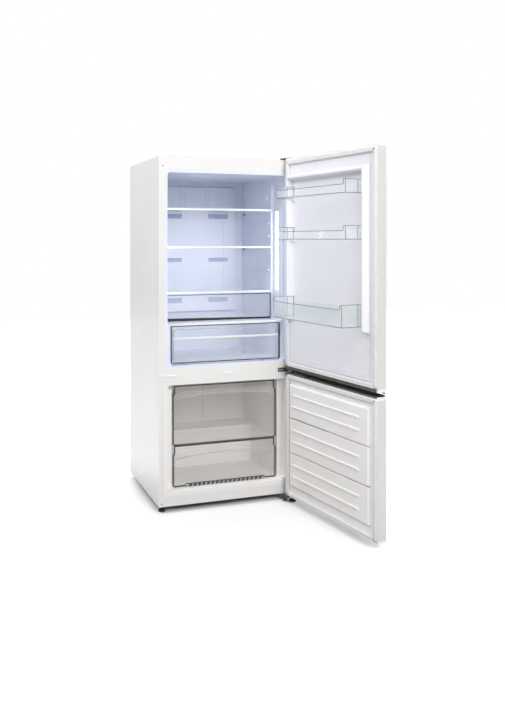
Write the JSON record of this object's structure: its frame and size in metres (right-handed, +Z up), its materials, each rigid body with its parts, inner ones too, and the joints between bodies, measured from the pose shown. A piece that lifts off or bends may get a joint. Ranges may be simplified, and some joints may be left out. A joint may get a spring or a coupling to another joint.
{
  "type": "bottom freezer refrigerator",
  "caption": "Free-standing refrigerator with a shelved fridge compartment above a freezer with drawers; both right-hinged doors stand open, door bins inside.",
  "frame": {"origin": "middle of the underside of the bounding box at rest, with both doors open", "axes": "+Z up, -Y towards the user who faces the compartments, +X to that user's right, the hinge side"},
  "size_m": [0.7964, 1.3148, 1.711],
  "materials": {
    "cabinet_paint": "satin warm white enamel",
    "door_paint": "satin warm white enamel",
    "back_sheet": "galvanised sheet",
    "dark_steel": "black enamel",
    "liner_plastic": "smooth bluish white",
    "freezer_plastic": "smooth white",
    "door_liner_plastic": "smooth white",
    "white_plastic": "fine matte",
    "dark_plastic": "fine matte black",
    "grip_plastic": "matte grey brown",
    "clear_plastic": "clear",
    "frozen_plastic": "clear, warm grey",
    "shelf_glass": "clear toughened glass",
    "light_cover": "frosted white",
    "foam": "rigid foam",
    "gasket_rubber": "soft light grey",
    "coil_metal": "bare tube",
    "compressor_paint": "black enamel",
    "screw_steel": "bright zinc",
    "foot_plastic": "black",
    "control_plastic": "light grey"
  },
  "bodies": {
    "cabinet": {"left_side_panel": "cabinet_paint", "right_side_panel": "cabinet_paint", "top_panel": "cabinet_paint", "back_panel": "back_sheet", "base_pan": "dark_steel", "cabinet_insulation": "foam", "fridge_liner": "liner_plastic", "freezer_liner": "freezer_plastic", "middle_rail": "cabinet_paint", "bottom_rail": "cabinet_paint", "blanking_caps": "white_plastic", "fridge_air_duct": "liner_plastic", "led_covers": "light_cover", "freezer_back_panel": "freezer_plastic", "evaporator": "coil_metal", "evaporator_fan_motor": "dark_plastic", "compressor": "compressor_paint", "condenser": "dark_steel", "drip_tray": "control_plastic", "control_box": "control_plastic", "mains_inlet": "dark_plastic", "top_hinge": "dark_steel", "top_hinge_cover": "white_plastic", "middle_hinge": "screw_steel", "bottom_hinge": "dark_steel", "hinge_screws": "screw_steel"},
    "left_foot": {"left_foot": "foot_plastic"},
    "right_foot": {"right_foot": "foot_plastic"},
    "left_roller": {"left_roller": "foot_plastic"},
    "right_roller": {"right_roller": "foot_plastic"},
    "evaporator_fan": {"evaporator_fan": "white_plastic"},
    "crisper_cover": {"crisper_cover": "clear_plastic"},
    "chiller_drawer": {"chiller_drawer": "clear_plastic"},
    "top_bin": {"top_bin": "clear_plastic"},
    "middle_bin": {"middle_bin": "clear_plastic"},
    "bottom_bin": {"bottom_bin": "clear_plastic"},
    "upper_shelf": {"upper_shelf_glass": "shelf_glass", "upper_shelf_trim": "white_plastic"},
    "middle_shelf": {"middle_shelf_glass": "shelf_glass", "middle_shelf_trim": "white_plastic"},
    "lower_shelf": {"lower_shelf_glass": "shelf_glass", "lower_shelf_trim": "white_plastic"},
    "crisper_drawer": {"crisper_tub": "clear_plastic", "crisper_front": "clear_plastic"},
    "freezer_upper_drawer": {"freezer_upper_tub": "frozen_plastic", "freezer_upper_front": "frozen_plastic"},
    "freezer_lower_drawer": {"freezer_lower_tub": "frozen_plastic", "freezer_lower_front": "frozen_plastic"},
    "fridge_door": {"fridge_door_skin": "door_paint", "fridge_door_liner": "door_liner_plastic", "fridge_door_foam": "foam", "fridge_door_top_cap": "white_plastic", "fridge_door_bottom_grip": "grip_plastic", "fridge_door_gasket": "gasket_rubber"},
    "freezer_door": {"freezer_door_skin": "door_paint", "freezer_door_liner": "door_liner_plastic", "freezer_door_foam": "foam", "freezer_door_top_grip": "grip_plastic", "freezer_door_bottom_cap": "white_plastic", "freezer_door_gasket": "gasket_rubber"}
  },
  "joints": [
    {"name": "fridge_door_hinge", "type": "hinge", "parent": "cabinet", "child": "fridge_door", "pos_m": [0.27994, 0.01748, 0.65], "axis": [0, 0, 1], "range_deg": [-98.4, 21.6]},
    {"name": "freezer_door_hinge", "type": "hinge", "parent": "cabinet", "child": "freezer_door", "pos_m": [0.27994, 0.01748, 0.65], "axis": [0, 0, 1], "range_deg": [-98.4, 21.6]},
    {"name": "upper_shelf_slide", "type": "slide", "parent": "cabinet", "child": "upper_shelf", "axis": [0, -1, 0], "range_m": [0, 0.19]},
    {"name": "middle_shelf_slide", "type": "slide", "parent": "cabinet", "child": "middle_shelf", "axis": [0, -1, 0], "range_m": [0, 0.19]},
    {"name": "lower_shelf_slide", "type": "slide", "parent": "cabinet", "child": "lower_shelf", "axis": [0, -1, 0], "range_m": [0, 0.19]},
    {"name": "crisper_cover_slide", "type": "slide", "parent": "cabinet", "child": "crisper_cover", "axis": [0, -1, 0], "range_m": [0, 0.25]},
    {"name": "chiller_drawer_slide", "type": "slide", "parent": "cabinet", "child": "chiller_drawer", "axis": [0, -1, 0], "range_m": [0, 0.18]},
    {"name": "crisper_drawer_slide", "type": "slide", "parent": "cabinet", "child": "crisper_drawer", "axis": [0, -1, 0], "range_m": [0, 0.35]},
    {"name": "freezer_upper_drawer_slide", "type": "slide", "parent": "cabinet", "child": "freezer_upper_drawer", "axis": [0, -1, 0], "range_m": [0, 0.35]},
    {"name": "freezer_lower_drawer_slide", "type": "slide", "parent": "cabinet", "child": "freezer_lower_drawer", "axis": [0, -1, 0], "range_m": [0, 0.25]},
    {"name": "top_bin_lift", "type": "slide", "parent": "fridge_door", "child": "top_bin", "axis": [0, 0, 1], "range_m": [0, 0.025]},
    {"name": "middle_bin_lift", "type": "slide", "parent": "fridge_door", "child": "middle_bin", "axis": [0, 0, 1], "range_m": [0, 0.025]},
    {"name": "bottom_bin_lift", "type": "slide", "parent": "fridge_door", "child": "bottom_bin", "axis": [0, 0, 1], "range_m": [0, 0.025]},
    {"name": "left_foot_turn", "type": "hinge", "parent": "cabinet", "child": "left_foot", "pos_m": [-0.37566, 0.08743, 0.01], "axis": [0, 0, 1], "continuous": true},
    {"name": "right_foot_turn", "type": "hinge", "parent": "cabinet", "child": "right_foot", "pos_m": [0.27994, 0.01748, 0.01], "axis": [0, 0, 1], "continuous": true},
    {"name": "left_roller_spin", "type": "hinge", "parent": "cabinet", "child": "left_roller", "pos_m": [-0.34816, 0.61743, 0.014], "axis": [1, 0, 0], "continuous": true},
    {"name": "right_roller_spin", "type": "hinge", "parent": "cabinet", "child": "right_roller", "pos_m": [0.25184, 0.61743, 0.014], "axis": [1, 0, 0], "continuous": true},
    {"name": "evaporator_fan_spin", "type": "hinge", "parent": "cabinet", "child": "evaporator_fan", "pos_m": [-0.04816, 0.56143, 0.552], "axis": [0, 1, 0], "continuous": true}
  ]
}
